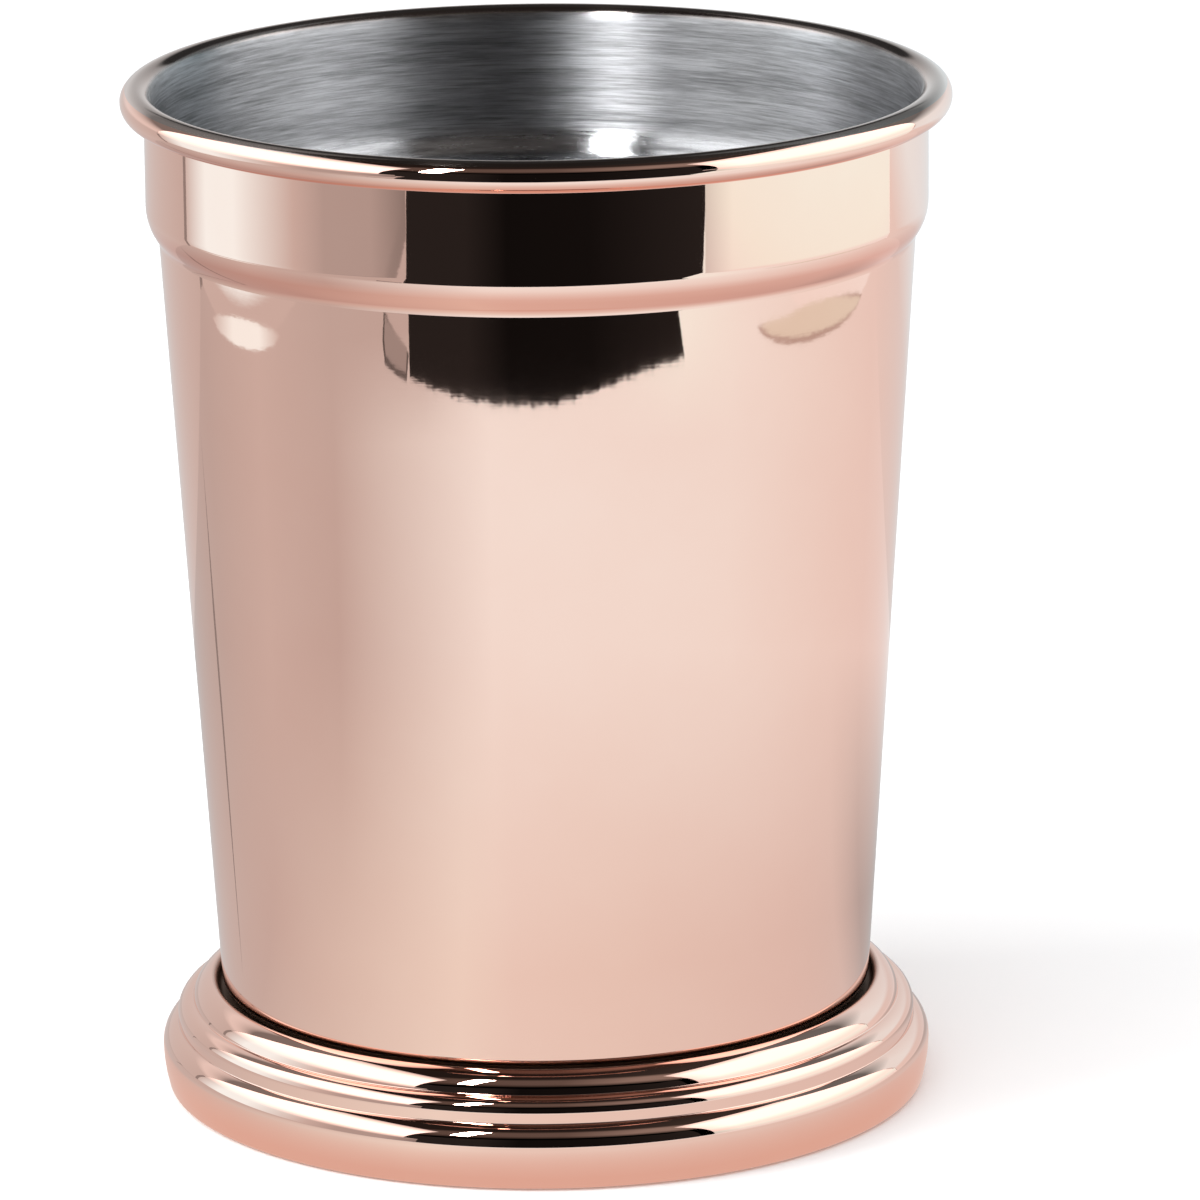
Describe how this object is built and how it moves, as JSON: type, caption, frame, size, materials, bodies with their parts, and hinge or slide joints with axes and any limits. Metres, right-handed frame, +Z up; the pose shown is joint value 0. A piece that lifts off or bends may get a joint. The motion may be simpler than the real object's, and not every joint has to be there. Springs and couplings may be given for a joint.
{
  "type": "julep cup",
  "caption": "Handleless tapered metal cup with a beaded rim, a banded shoulder and a stepped foot ring, copper-plated outside and brushed steel inside, for serving cold drinks.",
  "frame": {"origin": "on the cup's axis, at the level of the surface that the foot stands on", "axes": "+Z up along the axis of revolution, from the foot to the rim; +X and +Y are alike"},
  "size_m": [0.084, 0.084, 0.1048],
  "materials": {
    "copper_mirror": "polished",
    "copper_satin": "satin",
    "steel_inside": "satin"
  },
  "bodies": {
    "root": {"cup_body": "copper_mirror", "foot_ring": "copper_mirror", "base_plate": "copper_satin"}
  },
  "joints": []
}
